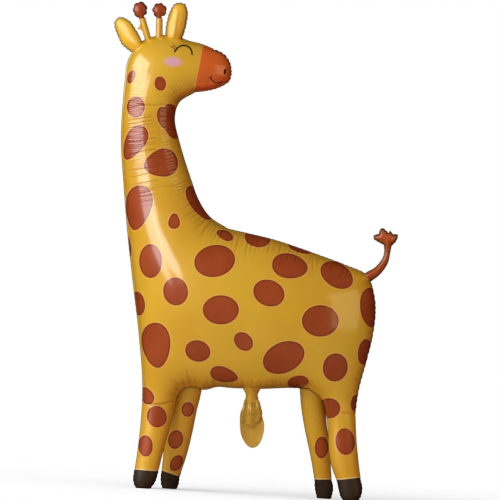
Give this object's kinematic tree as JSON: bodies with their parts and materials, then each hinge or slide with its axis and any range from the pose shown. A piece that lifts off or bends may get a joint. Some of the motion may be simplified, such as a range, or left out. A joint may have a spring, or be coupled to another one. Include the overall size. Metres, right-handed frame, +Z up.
{
  "type": "giraffe foil balloon",
  "caption": "Standing giraffe made of printed metallised film, blown up, with long neck, four hooved legs, ears, horns, tail and a flat filling valve under the belly.",
  "frame": {"origin": "middle of the footprint's box on the ground, under the giraffe", "axes": "+Z up, +X from the chest towards the tail, the way the head looks, +Y from the near side to the far side"},
  "size_m": [0.5942, 0.246, 0.9726],
  "materials": {
    "printed_film": "metallised film, glossy, printed gold with brown patches"
  },
  "bodies": {
    "root": {"giraffe_balloon": "printed_film"}
  },
  "joints": []
}
